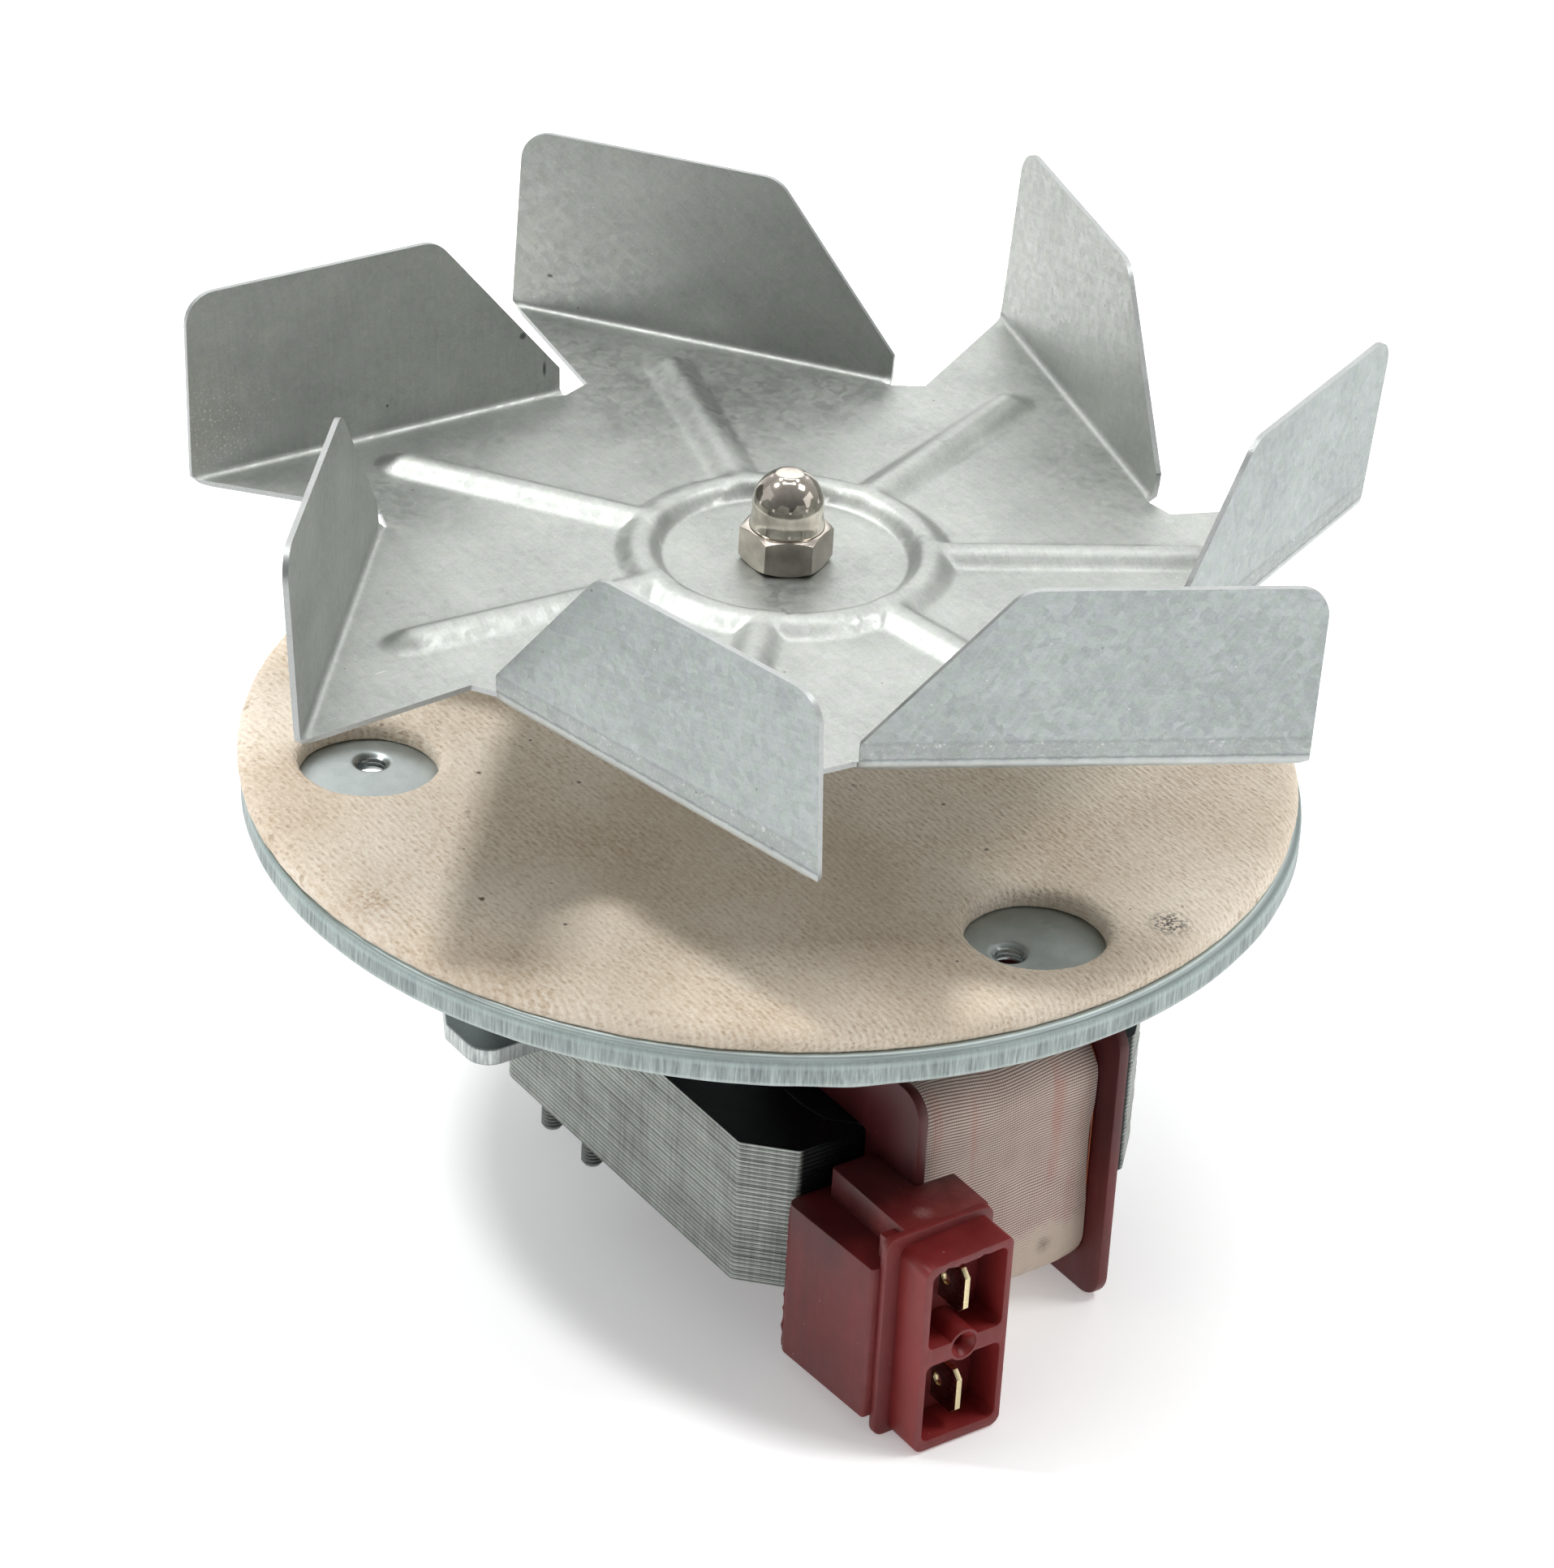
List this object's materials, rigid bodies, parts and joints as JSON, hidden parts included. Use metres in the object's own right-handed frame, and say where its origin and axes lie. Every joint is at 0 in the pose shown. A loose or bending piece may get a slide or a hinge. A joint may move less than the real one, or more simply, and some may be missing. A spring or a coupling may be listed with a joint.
{
  "type": "oven fan motor",
  "caption": "Oven convection fan motor: folded sheet-metal fan wheel on a shaded-pole motor with a round mounting plate, fibre insulation pad and blade terminals",
  "frame": {"origin": "centre of the three threaded mounting bosses, on the fan side of the mounting plate", "axes": "+Z along the shaft towards the fan wheel, -Y towards the terminals, X across the motor along the coil"},
  "size_m": [0.1473, 0.1474, 0.1074],
  "materials": {
    "aluminised_sheet": "satin",
    "nickel_plate": "gloss",
    "ground_steel": "satin",
    "zinc_sheet": "satin",
    "fibre_pad": "matte",
    "zinc_screw": "satin",
    "lamination_stack": "satin",
    "copper": "satin",
    "cast_aluminium": "satin",
    "oil_felt": "matte",
    "sintered_bronze": "matte",
    "red_moulding": "satin",
    "tinned_brass": "satin",
    "glass_tape": "matte"
  },
  "bodies": {
    "motor": {"mounting_plate": "zinc_sheet", "insulation_pad": "fibre_pad", "spacer_posts": "zinc_sheet", "motor_bracket": "zinc_sheet", "bracket_screws": "zinc_screw", "stator_core": "lamination_stack", "coil_core": "lamination_stack", "shading_rings": "copper", "upper_bearing_bracket": "zinc_sheet", "lower_bearing_bracket": "zinc_sheet", "upper_oil_felt": "oil_felt", "upper_bearing": "sintered_bronze", "upper_retainer": "ground_steel", "lower_bearing": "sintered_bronze", "lower_retainer": "ground_steel", "lower_oil_felt": "oil_felt", "coil_bobbin": "red_moulding", "terminal_tab_upper": "tinned_brass", "terminal_tab_lower": "tinned_brass", "coil_tape": "glass_tape", "coil_winding": "copper"},
    "rotor": {"fan_wheel": "aluminised_sheet", "cap_nut": "nickel_plate", "motor_shaft": "ground_steel", "wheel_seat": "ground_steel", "rotor_core": "lamination_stack", "rotor_cage": "cast_aluminium", "upper_sleeve": "ground_steel", "lower_sleeve": "ground_steel", "thrust_washers": "ground_steel"}
  },
  "joints": [
    {"name": "shaft_turn", "type": "hinge", "parent": "motor", "child": "rotor", "pos_m": [0, 0, 0], "axis": [0, 0, 1], "continuous": true}
  ]
}
